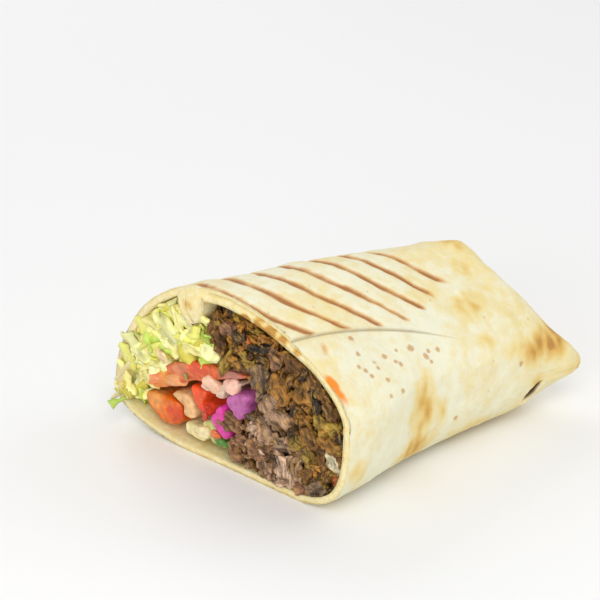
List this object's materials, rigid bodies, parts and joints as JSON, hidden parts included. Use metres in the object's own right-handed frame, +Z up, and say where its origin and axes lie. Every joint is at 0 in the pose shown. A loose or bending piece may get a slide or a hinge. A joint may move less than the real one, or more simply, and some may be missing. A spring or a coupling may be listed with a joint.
{
  "type": "shawarma half",
  "caption": "Half of a pressed shawarma, folded shut at one end and cut at the other, with shaved meat, shredded leaf, tomato and onion showing.",
  "frame": {"origin": "middle of the bounding box, on the surface that the roll rests on", "axes": "+X along the roll from the cut to the folded end, +Y towards the salad side, +Z up"},
  "size_m": [0.112, 0.08, 0.0509],
  "materials": {
    "bread": "dry, faintly floury flatbread with toasted stripes",
    "meat": "shaved roast meat, moist inside and crisp at the edges",
    "lettuce": "shredded leaf, soft sheen",
    "tomato": "wet cut tomato",
    "pickled_onion": "wet magenta pickle",
    "onion": "wet translucent onion",
    "cabbage": "pale crisp rib",
    "cucumber": "wet green rind"
  },
  "bodies": {
    "root": {"wrap": "bread", "meat": "meat", "lettuce": "lettuce", "tomato_slab": "tomato", "tomato_wedge": "tomato", "tomato_strip": "tomato", "pickled_onion": "pickled_onion", "pickled_onion_shred": "pickled_onion", "onion_chunk": "onion", "onion_shard": "onion", "onion_slice": "onion", "cabbage_rib": "cabbage", "cucumber_slice": "cucumber"}
  },
  "joints": []
}
